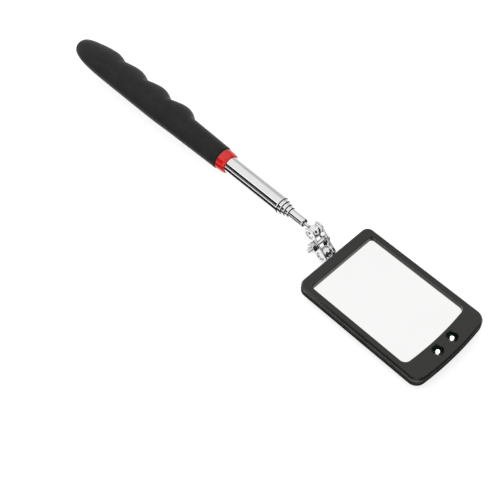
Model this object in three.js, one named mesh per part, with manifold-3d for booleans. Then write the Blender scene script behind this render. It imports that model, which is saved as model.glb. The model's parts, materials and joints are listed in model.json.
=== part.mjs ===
// Telescoping inspection mirror with a lighted rectangular head.
// Millimetres. +X runs from the grip to the head, +Y towards the finger bumps, +Z up.
// The flat back of the head lies on z = 0 with the mirror facing up. The joint carries the wand higher than the
// head and parallel to it. x = 0 and y = 0 are the middle of the box around the tool.

import * as THREE from 'three';
import { mergeVertices } from 'three/addons/utils/BufferGeometryUtils.js';
import Module from 'manifold-3d';

const wasm = await Module();
wasm.setup();

// ---------------------------------------------------------------- driving dimensions

const OVERALL_LENGTH = 297.2;

const HEAD = {
  length: 83,
  halfWidth: 27,
  thickness: 12,
  endRadius: 200,                 // the lamp end is a shallow arc
  nearCorner: 4.5,
  farCorner: 6,
  wall: 1.6,
  partingHeight: 6,
};

const WINDOW = { start: 6.7, end: 71.3, halfWidth: 23.4, nearCorner: 2, farCorner: 3.6, bevel: 0.6 };
const GLASS = { start: 5.95, end: 72.5, halfWidth: 24.6, bottom: 7.9, top: 9.9 };
const PAD = { start: 9, end: 69.5, halfWidth: 21, bottom: 7.1, top: 7.8 };
const CARRIER = { start: 6, end: 72.3, halfWidth: 24.8, bottom: 6, top: 7 };

const LAMP = { x: 76.2, y: 5.6, holeRadius: 3, bodyRadius: 2.45, flangeRadius: 2.85 };
const BOARD = { start: 54, end: 80, halfWidth: 11, bottom: 4.7, top: 5.6 };
const DOOR = { x: 34, radius: 11.4, lugReach: 12.9, lugWidth: 5.2 };
const CELL = { radius: 10, height: 1.6 };
const SWITCH = { x: 61, travel: 2.4, knobLength: 2.4, knobWidth: 2.4 };
const CASE_SCREWS = [[3.9, 20.5], [3.9, -20.5], [77.6, 19.5], [77.6, -19.5]];

const JOINT = {
  ballRadius: 3.8,
  ballSpacing: 13.8,
  headReach: 6,                   // head-side ball centre to the edge of the head
  wandReach: 6.9,                 // wand-side ball centre to the end of the last tube
  headOffset: 1,                  // the head stem is a little off the middle of the head
  headHeight: 5.6,                // and halfway up its edge
  drop: THREE.MathUtils.degToRad(49.5),   // slope of the clamp, down from the wand to the head
  plateInner: 3,                  // from the middle plane to the inner face of a plate
  plateThickness: 1,
  plateEndRadius: 4.1,
  plateWaist: 3.1,
  seatRadius: 2.55,
  screwHole: 1.6,
  plateLean: THREE.MathUtils.degToRad(77),   // how far a round end goes before the waist starts
  neckRadius: 1,
};

const STEM = { radius: 1.35, footRadius: 2.1, bushRadius: 2.25, headRadius: 1.15, flangeRadius: 1.8 };
const BEARING = { bore: 1.3, radius: 2, flangeRadius: 2.2, holeRadius: 2.15, pocketRadius: 2.5 };
const CLAMP_SCREW = { radius: 1.35, headRadius: 2.9, recessLength: 1.6, recessWidth: 0.35, tail: 5.8 };
const CLAMP_NUT = { radius: 3.15, height: 2.3, bore: 1.5 };
const LOCK_WASHER = { radius: 2.75, bore: 1.55, height: 0.6, gap: 0.7 };

const TUBE = {
  radii: [5, 4.4, 3.8, 3.2, 2.6],
  wall: 0.25,
  firstFront: 26.8,
  step: 2.26,                     // how far each tube stands out of the one around it
  firstRear: -141.5,
  rearStep: 3,
  lip: 1.2,                       // length of the rolled-in front lip
  lipDrop: 0.12,
  slip: 0.08,                     // room between a lip and the tube that slides in it
  flare: 0.18,
  lastMouth: 1.6,
  lastLip: 1.95,
};

const GRIP = {
  length: 128.5,
  radius: 8.15,
  neckRadius: 7.5,
  mouthRadius: 6.85,
  bumpReach: 11.4,
  valleyReach: 9.15,              // reach of the valley nearest the nose
  valleyDrop: 0.64,               // each valley is this much closer to the axis than the last
  firstPeak: 26.5,
  firstValley: 34.1,
  pitch: 21.22,
  bumps: 4,
  bumpLean: 1.1,                  // above 1 the top of a bump leans towards the mouth
  noseDome: 3.4,                  // length of the blunt end
  noseDrop: 4.9,                  // how much slimmer the body starts at the nose
  noseFade: 6.8,                  // length over which that fades by a factor of e
  noseSwell: 1.2,                 // how much further the bumped side reaches at the nose
  swellStart: 9,
  slimStart: 70.8,                // where the body starts to slim towards the neck
  boreRadius: 5.25,
  boreRoom: 1.4,                  // room in the bore behind the tubes
};

const COLLAR = { length: 5.7, rearRadius: 6.5, frontRadius: 6.05, boreRadius: 5.2, gap: 0.3 };

const HEAD_X = OVERALL_LENGTH / 2 - HEAD.length;
const NOSE_X = -OVERALL_LENGTH / 2;
const GRIP_MOUTH_X = NOSE_X + GRIP.length;
const HEAD_BALL = new THREE.Vector3(HEAD_X - JOINT.headReach, JOINT.headOffset, JOINT.headHeight);
const WAND_BALL = HEAD_BALL.clone().add(new THREE.Vector3(
  -JOINT.ballSpacing * Math.cos(JOINT.drop),
  0,
  JOINT.ballSpacing * Math.sin(JOINT.drop),
));

const ROUND = 24;                 // sides of a tube
const SMALL_ROUND = 16;           // sides of a pin, a screw or a hole

// ---------------------------------------------------------------- finishes

const finish = (color, roughness, metalness) => () =>
  new THREE.MeshStandardMaterial({ color, roughness, metalness });

const blackRubber = finish(0x2a2a2b, 0.8, 0);
const redPlastic = finish(0xe53a35, 0.35, 0);
const blackPlastic = finish(0x3e3d3a, 0.5, 0);
const darkPlastic = finish(0x1c1c1c, 0.6, 0);
const chrome = finish(0xe6e8ea, 0.08, 1);
const steel = finish(0xb9bcc0, 0.3, 1);
const bronze = finish(0xb98a4a, 0.35, 1);
const mirror = finish(0xf4f4f5, 0.02, 1);
const foam = finish(0xd9d9d4, 0.95, 0);
const clearLens = finish(0xf2f6fa, 0.05, 0);
const boardGreen = finish(0x1f5a34, 0.55, 0);
const ceramic = finish(0x26262a, 0.5, 0);

// ---------------------------------------------------------------- solid helpers

// One closed surface: shared vertices merged, collapsed faces dropped, all faces outward.
function closed(geometry) {
  const bare = geometry.clone();
  bare.deleteAttribute('normal');
  bare.deleteAttribute('uv');
  const merged = mergeVertices(bare, 1e-4);
  const position = merged.getAttribute('position');
  const corners = [];
  const [a, b, c] = [new THREE.Vector3(), new THREE.Vector3(), new THREE.Vector3()];
  let volume = 0;
  for (let i = 0; i < merged.index.count; i += 3) {
    const [p, q, r] = [0, 1, 2].map((k) => merged.index.getX(i + k));
    if (p === q || q === r || r === p) continue;
    corners.push(p, q, r);
    a.fromBufferAttribute(position, p);
    b.fromBufferAttribute(position, q);
    c.fromBufferAttribute(position, r);
    volume += a.dot(b.cross(c));
  }
  merged.setIndex(volume < 0 ? corners.reverse() : corners);
  return merged;
}

function toSolid(geometry) {
  const shell = closed(geometry);
  return new wasm.Manifold(new wasm.Mesh({
    numProp: 3,
    vertProperties: new Float32Array(shell.getAttribute('position').array),
    triVerts: new Uint32Array(shell.index.array),
  }));
}

function toGeometry(solid) {
  const mesh = solid.getMesh();
  const geometry = new THREE.BufferGeometry();
  geometry.setAttribute('position', new THREE.BufferAttribute(new Float32Array(mesh.vertProperties), 3));
  geometry.setIndex(new THREE.BufferAttribute(new Uint32Array(mesh.triVerts), 1));
  return geometry;
}

function cut(geometry, ...tools) {
  const left = tools.reduce((solid, tool) => solid.subtract(toSolid(tool)), toSolid(geometry));
  return toGeometry(left);
}

function join(geometry, ...others) {
  const whole = others.reduce((solid, other) => solid.add(toSolid(other)), toSolid(geometry));
  return toGeometry(whole);
}

function common(geometry, other) {
  return toGeometry(toSolid(geometry).intersect(toSolid(other)));
}

function box(low, high) {
  const size = high.map((value, i) => value - low[i]);
  const middle = high.map((value, i) => (value + low[i]) / 2);
  return new THREE.BoxGeometry(...size).translate(...middle);
}

// A turned piece along +X. Each profile point is [distance along the axis, radius].
function turned(profile, sides = ROUND) {
  const points = profile.map(([along, radius]) => new THREE.Vector2(radius, along));
  return closed(new THREE.LatheGeometry(points, sides).rotateZ(-Math.PI / 2));
}

// A turned piece along +Z, from the same kind of profile.
function turnedUp(profile, sides = ROUND) {
  return closed(turned(profile, sides).rotateY(-Math.PI / 2));
}

function rod(start, end, radius, sides = SMALL_ROUND) {
  return turned([[start, 0], [start, radius], [end, radius], [end, 0]], sides);
}

function post(x, y, bottom, top, radius, sides = SMALL_ROUND) {
  return turnedUp([[bottom, 0], [bottom, radius], [top, radius], [top, 0]], sides).translate(x, y, 0);
}

function ring(start, end, outer, inner, sides = ROUND) {
  return turned([[start, inner], [start, outer], [end, outer], [end, inner], [start, inner]], sides);
}

function ringUp(bottom, top, outer, inner, sides = ROUND) {
  return turnedUp([[bottom, inner], [bottom, outer], [top, outer], [top, inner], [bottom, inner]], sides);
}

// A closed solid through a stack of rings that all have the same number of points.
function loft(rings) {
  const count = rings[0].length;
  const centre = (points) => points.reduce((sum, p) => sum.add(p), new THREE.Vector3()).divideScalar(count);
  const points = [...rings.flat(), centre(rings[0]), centre(rings.at(-1))];
  const [firstCentre, lastCentre] = [points.length - 2, points.length - 1];
  const lastRing = (rings.length - 1) * count;
  const faces = [];
  for (let k = 0; k < count; k += 1) {
    const next = (k + 1) % count;
    for (let level = 0; level < lastRing; level += count) {
      faces.push(level + k, level + next, level + count + next);
      faces.push(level + k, level + count + next, level + count + k);
    }
    faces.push(firstCentre, next, k);
    faces.push(lastCentre, lastRing + k, lastRing + next);
  }
  const geometry = new THREE.BufferGeometry().setFromPoints(points);
  geometry.setIndex(faces);
  return closed(geometry);
}

// ---------------------------------------------------------------- outlines of the head

// Counter-clockwise outline at one height: straight near end and sides, a shallow arc at the far end.
function headOutline(shape, height) {
  const { start, end, halfWidth, endRadius, nearCorner, farCorner } = shape;
  const arcCentre = end - endRadius;
  const filletY = halfWidth - farCorner;
  const filletX = arcCentre + Math.sqrt((endRadius - farCorner) ** 2 - filletY ** 2);
  const spread = Math.atan2(filletY, filletX - arcCentre);
  const points = [];
  const arc = (x, y, radius, from, to, steps, skipLast) => {
    for (let i = 0; i <= steps - (skipLast ? 1 : 0); i += 1) {
      const angle = from + ((to - from) * i) / steps;
      points.push(new THREE.Vector3(x + radius * Math.cos(angle), y + radius * Math.sin(angle), height));
    }
  };
  const quarter = Math.PI / 2;
  const nearY = halfWidth - nearCorner;
  arc(start + nearCorner, -nearY, nearCorner, 2 * quarter, 3 * quarter, 4, false);
  arc(filletX, -filletY, farCorner, -quarter, -spread, 4, true);
  arc(arcCentre, 0, endRadius, -spread, spread, 6, true);
  arc(filletX, filletY, farCorner, spread, quarter, 4, false);
  arc(start + nearCorner, nearY, nearCorner, quarter, 2 * quarter, 4, false);
  return points;
}

function grown(shape, amount) {
  return {
    start: shape.start - amount,
    end: shape.end + amount,
    halfWidth: shape.halfWidth + amount,
    endRadius: HEAD.endRadius + amount,
    nearCorner: Math.max(shape.nearCorner + amount, 0.8),
    farCorner: Math.max(shape.farCorner + amount, 0.8),
  };
}

const headShape = { ...HEAD, start: 0, end: HEAD.length };

function slab(shape, bottom, top) {
  const outline = { endRadius: HEAD.endRadius, nearCorner: 1.5, farCorner: 2.5, ...shape };
  return loft([headOutline(outline, bottom), headOutline(outline, top)]);
}

// How far the curved back of the case lies inside the outline at a height.
const BACK_CURVE = { depth: 6.2, inset: 9 };

function backInset(height) {
  const rise = (BACK_CURVE.depth - height) / BACK_CURVE.depth;
  return BACK_CURVE.inset * (1 - Math.sqrt(1 - rise ** 2));
}

// ---------------------------------------------------------------- grip and tubes

// Radii of the grip at a distance from its nose: plain side, and the side with the finger bumps.
function gripReach(distance) {
  const { lerp, smoothstep, clamp } = THREE.MathUtils;
  const lastValley = GRIP.firstValley + (GRIP.bumps - 1) * GRIP.pitch;
  const dome = Math.sqrt(1 - (1 - Math.min(distance / GRIP.noseDome, 1)) ** 2);
  const start = GRIP.radius - GRIP.noseDrop * Math.exp(-distance / GRIP.noseFade);
  const slim = smoothstep(distance, GRIP.slimStart, lastValley) * (GRIP.radius - GRIP.neckRadius);
  const mouth = clamp((distance - lastValley) / (GRIP.length - lastValley), 0, 1);
  const plain = dome * lerp(start - slim, GRIP.mouthRadius, mouth);
  if (distance <= GRIP.firstPeak) {
    const swollen = smoothstep(distance, GRIP.swellStart, GRIP.firstPeak);
    return { plain, bumped: plain * lerp(GRIP.noseSwell, GRIP.bumpReach / plain, swollen) };
  }
  if (distance >= lastValley) {
    return { plain, bumped: plain };
  }
  const valleys = (distance - GRIP.firstValley) / GRIP.pitch;
  const phase = valleys - Math.floor(valleys);
  const crest = Math.sin(Math.PI * phase ** GRIP.bumpLean);
  const valley = GRIP.valleyReach - GRIP.valleyDrop * valleys;
  return { plain, bumped: lerp(valley, GRIP.bumpReach, crest) };
}

function gripRing(distance, sides) {
  const { plain, bumped } = gripReach(distance);
  return Array.from({ length: sides }, (_, i) => {
    const angle = (2 * Math.PI * i) / sides;
    const reach = Math.cos(angle) > 0 ? bumped : plain;
    return new THREE.Vector3(distance, reach * Math.cos(angle), plain * Math.sin(angle));
  });
}

function gripSleeve() {
  const nose = [0.1, 0.7, 2, 4.5, 9, 14, 20, GRIP.firstPeak];
  const perBump = 5;
  const scallops = Array.from({ length: (GRIP.bumps - 1) * perBump + 1 }, (_, i) =>
    GRIP.firstValley + (i * GRIP.pitch) / perBump);
  const stations = [...nose, (GRIP.firstPeak + GRIP.firstValley) / 2, ...scallops, GRIP.length];
  const body = loft(stations.map((distance) => gripRing(distance, 20))).translate(NOSE_X, 0, 0);
  return cut(body, rod(TUBE.firstRear - GRIP.boreRoom, GRIP_MOUTH_X + 1, GRIP.boreRadius, ROUND));
}

function redCollar() {
  const start = GRIP_MOUTH_X + COLLAR.gap;
  const end = start + COLLAR.length;
  return turned([
    [start, COLLAR.boreRadius],
    [start, COLLAR.rearRadius],
    [end - 0.5, COLLAR.frontRadius + 0.1],
    [end, COLLAR.frontRadius - 0.4],
    [end, COLLAR.boreRadius],
    [start, COLLAR.boreRadius],
  ]);
}

const LAST_TUBE = TUBE.radii.length - 1;

const tubeFront = (index) => (index < LAST_TUBE
  ? TUBE.firstFront + index * TUBE.step
  : WAND_BALL.x - JOINT.wandReach);
const tubeRear = (index) => TUBE.firstRear + index * TUBE.rearStep;

// A drawn tube: its front lip is rolled in round the next tube, and its rear end is flared.
function telescopeTube(index) {
  const outer = TUBE.radii[index];
  const inner = outer - TUBE.wall;
  const mouth = index < LAST_TUBE ? TUBE.radii[index + 1] + TUBE.slip : TUBE.lastMouth;
  const lipOuter = index < LAST_TUBE ? outer - TUBE.lipDrop : TUBE.lastLip;
  const flare = index === 0 ? outer : outer + TUBE.flare;
  const [rear, front] = [tubeRear(index), tubeFront(index)];
  return turned([
    [rear, inner],
    [rear, flare],
    [rear + 0.8, flare],
    [rear + 1, outer],
    [front - TUBE.lip, outer],
    [front, lipOuter],
    [front, mouth],
    [front - TUBE.lip, mouth],
    [front - TUBE.lip - 0.6, inner],
    [rear, inner],
  ]);
}

// A split spring sleeve at the rear of a tube that rubs inside the tube around it.
function frictionSleeve(index) {
  const start = tubeRear(index) + 1.2;
  const length = 8;
  const outer = TUBE.radii[index - 1] - TUBE.wall - 0.05;
  const inner = TUBE.radii[index] + 0.05;
  const gap = box([start - 1, -0.4, 0], [start + length + 1, 0.4, outer + 1]);
  return cut(ring(start, start + length, outer, inner), gap);
}

function tubeEndPlug() {
  const rear = TUBE.firstRear - 0.9;
  const rimRadius = TUBE.radii[0] - 0.1;
  const plugRadius = TUBE.radii[0] - TUBE.wall - 0.15;
  return turned([
    [rear, 0],
    [rear, rimRadius],
    [rear + 0.7, rimRadius],
    [rear + 0.7, plugRadius],
    [rear + 3.2, plugRadius],
    [rear + 3.2, 0],
  ]);
}

// ---------------------------------------------------------------- stems, balls and clamp

function wandStem() {
  const front = -JOINT.ballRadius - 0.15;
  const mouth = -JOINT.wandReach;
  return turned([
    [mouth - 7.4, 0],
    [mouth - 7.4, STEM.footRadius],
    [mouth - 6, STEM.footRadius],
    [mouth - 6, STEM.radius],
    [mouth - 0.3, STEM.radius],
    [mouth + 0.1, JOINT.neckRadius],
    [front, JOINT.neckRadius],
    [front, 0],
  ], SMALL_ROUND);
}

function stemBush() {
  const mouth = -JOINT.wandReach;
  return ring(mouth - 5.8, mouth - 2, STEM.bushRadius, STEM.radius + 0.15);
}

function headStem() {
  const front = JOINT.ballRadius + 0.15;
  const edge = JOINT.headReach;
  return turned([
    [front, 0],
    [front, JOINT.neckRadius],
    [edge - 0.7, JOINT.neckRadius],
    [edge - 0.7, STEM.headRadius + 0.35],
    [edge - 0.4, STEM.headRadius + 0.35],
    [edge - 0.4, STEM.headRadius],
    [edge + 3.3, STEM.headRadius],
    [edge + 3.3, STEM.flangeRadius],
    [edge + 4.2, STEM.flangeRadius],
    [edge + 4.2, 0],
  ], SMALL_ROUND);
}

function stemWasher() {
  const start = JOINT.headReach + 2.6;
  return ring(start, start + 0.5, BEARING.flangeRadius, STEM.headRadius + 0.2);
}

// The thin bearing sleeve that carries the head stem in the end wall of the case.
function stemBearing() {
  const { bore, radius, flangeRadius } = BEARING;
  return turned([
    [-0.15, bore],
    [-0.15, radius],
    [1.95, radius],
    [1.95, flangeRadius],
    [2.4, flangeRadius],
    [2.4, bore],
    [-0.15, bore],
  ], ROUND);
}

const ball = () => closed(new THREE.SphereGeometry(JOINT.ballRadius, 20, 12));

// A clamp plate lies in X and Z, with a round seat for each ball and a hole for the screw.
function clampPlate(side) {
  const half = JOINT.ballSpacing / 2;
  const lean = JOINT.plateLean;
  const waistEndX = half + JOINT.plateEndRadius * Math.cos(lean);
  const waistEndZ = JOINT.plateEndRadius * Math.sin(lean);
  const shape = new THREE.Shape();
  shape.absarc(half, 0, JOINT.plateEndRadius, -lean, lean, false);
  shape.quadraticCurveTo(half / 3, JOINT.plateWaist, 0, JOINT.plateWaist);
  shape.quadraticCurveTo(-half / 3, JOINT.plateWaist, -waistEndX, waistEndZ);
  shape.absarc(-half, 0, JOINT.plateEndRadius, Math.PI - lean, Math.PI + lean, false);
  shape.quadraticCurveTo(-half / 3, -JOINT.plateWaist, 0, -JOINT.plateWaist);
  shape.closePath();
  [[-half, JOINT.seatRadius], [0, JOINT.screwHole], [half, JOINT.seatRadius]].forEach(([x, radius]) => {
    shape.holes.push(new THREE.Path().absarc(x, 0, radius, 0, 2 * Math.PI, true));
  });
  const plate = new THREE.ExtrudeGeometry(shape, {
    depth: JOINT.plateThickness,
    bevelEnabled: false,
    curveSegments: 7,
  });
  const inner = side * (JOINT.plateInner + (side > 0 ? JOINT.plateThickness : 0));
  return closed(plate.rotateX(Math.PI / 2).translate(0, inner, 0));
}

const PLATE_OUTER = JOINT.plateInner + JOINT.plateThickness;

// The clamp screw lies along +Y: a domed head with a cross recess outside the plate on the +Y side.
function clampScrew() {
  const { radius, headRadius, recessLength, recessWidth, tail } = CLAMP_SCREW;
  const seat = PLATE_OUTER + 0.1;
  const screw = turned([
    [-PLATE_OUTER - tail, 0],
    [-PLATE_OUTER - tail, radius - 0.3],
    [-PLATE_OUTER - tail + 0.3, radius],
    [seat, radius],
    [seat, headRadius],
    [seat + 0.9, headRadius],
    [seat + 1.6, headRadius - 0.7],
    [seat + 1.9, headRadius - 1.7],
    [seat + 1.9, 0],
  ], SMALL_ROUND);
  const recess = [[recessWidth, recessLength], [recessLength, recessWidth]].map(([y, z]) =>
    box([seat + 1, -y, -z], [seat + 3, y, z]));
  return cut(screw, ...recess).rotateZ(Math.PI / 2);
}

function clampNut() {
  const { radius, height, bore } = CLAMP_NUT;
  const top = -PLATE_OUTER - 0.85;
  const bottom = top - height;
  const nut = turned([
    [bottom, 0],
    [bottom, radius - 0.35],
    [bottom + 0.3, radius],
    [top - 0.3, radius],
    [top, radius - 0.35],
    [top, 0],
  ], 6);
  return cut(nut, rod(bottom - 1, top + 1, bore)).rotateZ(Math.PI / 2);
}

function lockWasher() {
  const { radius, bore, height, gap } = LOCK_WASHER;
  const top = -PLATE_OUTER - 0.15;
  const split = box([top - 2, -gap / 2, 0], [top + 1, gap / 2, radius + 1]);
  return cut(ring(top - height, top, radius, bore, 24), split).rotateZ(Math.PI / 2);
}

// ---------------------------------------------------------------- case of the head

// Both halves of the case share the hole of the stem bearing, with a wider pocket behind it.
function stemHole() {
  const { holeRadius, pocketRadius } = BEARING;
  const wall = HEAD.wall + 0.15;
  const hole = turned([
    [-1, 0],
    [-1, holeRadius],
    [wall, holeRadius],
    [wall, pocketRadius],
    [5.2, pocketRadius],
    [5.2, 0],
  ]);
  return hole.translate(0, HEAD_BALL.y, HEAD_BALL.z);
}

function frontBezel() {
  const top = HEAD.thickness;
  const outer = loft([[HEAD.partingHeight, 0], [top - 1.7, 0], [top - 0.25, -0.75], [top, -1.1]].map(
    ([height, growth]) => headOutline(grown(headShape, growth), height)));
  const inside = slab(grown(headShape, -HEAD.wall), HEAD.partingHeight - 1, top - 2);
  const windowHole = loft([[top - 3, 0], [top - 1.2, 0], [top, WINDOW.bevel], [top + 1, WINDOW.bevel * 2]].map(
    ([height, growth]) => headOutline(grown(WINDOW, growth), height)));
  const lampHoles = [LAMP.y, -LAMP.y].map((y) => turnedUp([
    [top - 3, 0],
    [top - 3, LAMP.holeRadius],
    [top - 0.5, LAMP.holeRadius],
    [top + 0.5, LAMP.holeRadius + 1],
    [top + 0.5, 0],
  ], 20).translate(LAMP.x, y, 0));
  const posts = CASE_SCREWS.map(([x, y]) => post(x, y, HEAD.partingHeight + 0.2, top - 1.9, 1.85, 12));
  const pilots = CASE_SCREWS.map(([x, y]) => post(x, y, HEAD.partingHeight - 1, top - 2.6, 1.05, 12));
  const shell = cut(outer, inside, windowHole, ...lampHoles, stemHole());
  return cut(join(shell, ...posts), ...pilots);
}

function rearShell() {
  const rim = HEAD.partingHeight - 0.2;
  const heights = [0, 0.2, 0.9, 2.2, 3.9, rim];
  const outer = loft(heights.map((height) => headOutline(grown(headShape, -backInset(height)), height)));
  const innerHeights = [HEAD.wall, 2.1, 3.2, 4.8, rim + 1];
  const inside = loft(innerHeights.map((height) => {
    const inset = backInset(Math.min(height - HEAD.wall * 0.7, rim)) + HEAD.wall;
    return headOutline(grown(headShape, -inset), height);
  }));
  const bosses = CASE_SCREWS.map(([x, y]) => common(post(x, y, 0, rim, 2.7, 12), outer));
  const wells = CASE_SCREWS.map(([x, y]) => post(x, y, -1, 2.95, 2.05, 12));
  const holes = CASE_SCREWS.map(([x, y]) => post(x, y, -1, rim + 1, 1.1, 12));
  const doorHole = post(DOOR.x, 0, -1, HEAD.wall + 1, DOOR.radius + 0.3, 36);
  const notch = box([-DOOR.lugReach - 0.4, -DOOR.lugWidth / 2 - 0.5, -1], [
    DOOR.lugReach + 0.4, DOOR.lugWidth / 2 + 0.5, HEAD.wall + 1]);
  const lugNotch = notch.rotateZ(THREE.MathUtils.degToRad(60)).translate(DOOR.x, 0, 0);
  const halfSlot = (SWITCH.travel + SWITCH.knobLength) / 2 + 0.4;
  const slot = box([SWITCH.x - halfSlot, -SWITCH.knobWidth / 2 - 0.3, -1], [
    SWITCH.x + halfSlot, SWITCH.knobWidth / 2 + 0.3, HEAD.wall + 1]);
  const scoop = loft([[-0.4, 6.4, 4.6], [0.6, 4.6, 2.9]].map(([height, length, width]) =>
    [[-1, -1], [1, -1], [1, 1], [-1, 1]].map(([sx, sy]) =>
      new THREE.Vector3(SWITCH.x + sx * length, sy * width, height))));
  const shell = join(cut(outer, inside), ...bosses);
  return cut(shell, ...wells, ...holes, doorHole, lugNotch, slot, scoop, stemHole());
}

function caseScrew([x, y]) {
  const head = turnedUp([
    [1.2, 0],
    [1.2, 1.5],
    [1.6, 1.8],
    [2.8, 1.8],
    [2.8, 0.9],
    [8.2, 0.9],
    [8.8, 0.3],
    [8.8, 0],
  ], 12);
  const recess = [[0.25, 1.1], [1.1, 0.25]].map(([sx, sy]) => box([-sx, -sy, 0.5], [sx, sy, 1.8]));
  return cut(head, ...recess).translate(x, y, 0);
}

// ---------------------------------------------------------------- mirror and lamps

function lamp(y) {
  const base = BOARD.top + 0.15;
  const shoulder = 8.9;
  const domeHeight = 2.2;
  const dome = [1, 2, 3, 4].map((step) => {
    const angle = (step * Math.PI) / 8;
    return [shoulder + domeHeight * Math.sin(angle), step === 4 ? 0 : LAMP.bodyRadius * Math.cos(angle)];
  });
  return turnedUp([
    [base, 0],
    [base, LAMP.flangeRadius],
    [base + 0.8, LAMP.flangeRadius],
    [base + 0.8, LAMP.bodyRadius],
    [shoulder, LAMP.bodyRadius],
    ...dome,
  ], 16).translate(LAMP.x, y, 0);
}

// ---------------------------------------------------------------- battery, board and switch

const cell = (bottom) => turnedUp([
  [bottom, 0],
  [bottom, CELL.radius - 1.2],
  [bottom + 0.3, CELL.radius - 1.2],
  [bottom + 0.3, CELL.radius],
  [bottom + CELL.height, CELL.radius],
  [bottom + CELL.height, 0],
], ROUND).translate(DOOR.x, 0, 0);

function batteryHolder() {
  const cup = ringUp(2.9, 5.4, CELL.radius + 1.5, CELL.radius + 0.4).translate(DOOR.x, 0, 0);
  const feet = [-1, 1].map((side) => box([DOOR.x - 3, side > 0 ? 11.3 : -14.3, 2.9], [
    DOOR.x + 3, side > 0 ? 14.3 : -11.3, 3.9]));
  return join(cup, ...feet);
}

// A round coin-slot door. Two lugs behind the floor hold it until it is turned by 60 degrees.
function batteryDoor() {
  const disc = post(0, 0, 0.2, 1.6, DOOR.radius, 36);
  const rim = ringUp(1.5, 2.6, CELL.radius + 1, CELL.radius + 0.3);
  const lugs = common(
    box([-DOOR.lugReach, -DOOR.lugWidth / 2, 1.8], [DOOR.lugReach, DOOR.lugWidth / 2, 2.6]),
    ringUp(1.8, 2.6, DOOR.lugReach, CELL.radius + 0.3, 36));
  const coinSlot = box([-7, -0.9, -1], [7, 0.9, 0.9]);
  return cut(join(disc, rim, lugs), coinSlot).translate(DOOR.x, 0, 0);
}

const doorContact = () => post(DOOR.x, 0, 1.68, 1.92, 4.5, 24);

// The upper contact: a flat strip over the cells with a tail that reaches the board.
function upperContact() {
  const strip = box([DOOR.x - 5, -2.5, 5.5], [BOARD.start + 3, 2.5, 5.75]);
  return cut(strip, box([BOARD.start - 1, -4, 5], [BOARD.start + 5, 4, 5.8]));
}

function circuitBoard() {
  const plate = box([BOARD.start, -BOARD.halfWidth, BOARD.bottom], [BOARD.end, BOARD.halfWidth, BOARD.top]);
  const notches = [-1, 1].map((side) => post(BOARD.start + 4, side * 8, BOARD.bottom - 1, BOARD.top + 1, 1.2));
  return cut(plate, ...notches);
}

const resistor = () => box([LAMP.x - 1.6, -0.8, BOARD.top + 0.1], [LAMP.x + 1.6, 0.8, BOARD.top + 0.7]);

function switchBody() {
  const body = box([SWITCH.x - 4.5, -3.5, 2.6], [SWITCH.x + 4.5, 3.5, 4.5]);
  const track = box([SWITCH.x - 2.7, -1.5, 2], [SWITCH.x + 2.7, 1.5, 3.6]);
  return cut(body, track);
}

// The knob starts at the off end of its slot and has grip ridges across its outer face.
function switchSlider() {
  const start = SWITCH.x - (SWITCH.travel + SWITCH.knobLength) / 2;
  const halfWidth = SWITCH.knobWidth / 2;
  const knob = box([start, -halfWidth, 0.3], [start + SWITCH.knobLength, halfWidth, 3.3]);
  const grooves = [0.7, 1.3, 1.9].map((along) =>
    box([start + along - 0.15, -2, 0], [start + along + 0.15, 2, 0.55]));
  return cut(knob, ...grooves);
}

// ---------------------------------------------------------------- assembly

const group = new THREE.Group();
const wand = new THREE.Group();
const wandEnd = new THREE.Group();
const link = new THREE.Group();
const headEnd = new THREE.Group();
const head = new THREE.Group();
group.add(wand, wandEnd, link, headEnd, head);

wand.position.set(0, WAND_BALL.y, WAND_BALL.z);
wandEnd.position.copy(WAND_BALL);
link.position.lerpVectors(WAND_BALL, HEAD_BALL, 0.5);
link.rotation.y = JOINT.drop;
headEnd.position.copy(HEAD_BALL);
head.position.set(HEAD_X, 0, 0);

function place(parent, name, geometry, material) {
  const mesh = new THREE.Mesh(geometry, material());
  mesh.name = name;
  parent.add(mesh);
}

place(wand, 'grip_sleeve', gripSleeve(), blackRubber);
place(wand, 'red_collar', redCollar(), redPlastic);
place(wand, 'tube_end_plug', tubeEndPlug(), darkPlastic);
TUBE.radii.forEach((_, index) => {
  place(wand, `tube_${index + 1}`, telescopeTube(index), chrome);
  if (index > 0) place(wand, `friction_sleeve_${index + 1}`, frictionSleeve(index), bronze);
});

place(wandEnd, 'stem_bush', stemBush(), bronze);
place(wandEnd, 'wand_stem', wandStem(), chrome);
place(wandEnd, 'wand_ball', ball(), chrome);

place(link, 'clamp_plate_left', clampPlate(1), chrome);
place(link, 'clamp_plate_right', clampPlate(-1), chrome);
place(link, 'clamp_screw', clampScrew(), chrome);
place(link, 'clamp_nut', clampNut(), chrome);
place(link, 'lock_washer', lockWasher(), steel);

place(headEnd, 'head_ball', ball(), chrome);
place(headEnd, 'head_stem', headStem(), chrome);
place(headEnd, 'stem_washer', stemWasher(), steel);

place(head, 'stem_bearing', stemBearing().translate(0, HEAD_BALL.y, HEAD_BALL.z), bronze);
place(head, 'front_bezel', frontBezel(), blackPlastic);
place(head, 'rear_shell', rearShell(), blackPlastic);
place(head, 'mirror_glass', slab(GLASS, GLASS.bottom, GLASS.top), mirror);
place(head, 'mirror_pad', slab(PAD, PAD.bottom, PAD.top), foam);
place(head, 'mirror_carrier', slab(CARRIER, CARRIER.bottom, CARRIER.top), darkPlastic);
place(head, 'lamp_left', lamp(LAMP.y), clearLens);
place(head, 'lamp_right', lamp(-LAMP.y), clearLens);
place(head, 'circuit_board', circuitBoard(), boardGreen);
place(head, 'resistor', resistor(), ceramic);
place(head, 'battery_cell_lower', cell(2), steel);
place(head, 'battery_cell_upper', cell(3.75), steel);
place(head, 'battery_holder', batteryHolder(), darkPlastic);
place(head, 'upper_contact', upperContact(), bronze);
place(head, 'battery_door', batteryDoor(), blackPlastic);
place(head, 'door_contact', doorContact(), bronze);
place(head, 'switch_body', switchBody(), darkPlastic);
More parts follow.
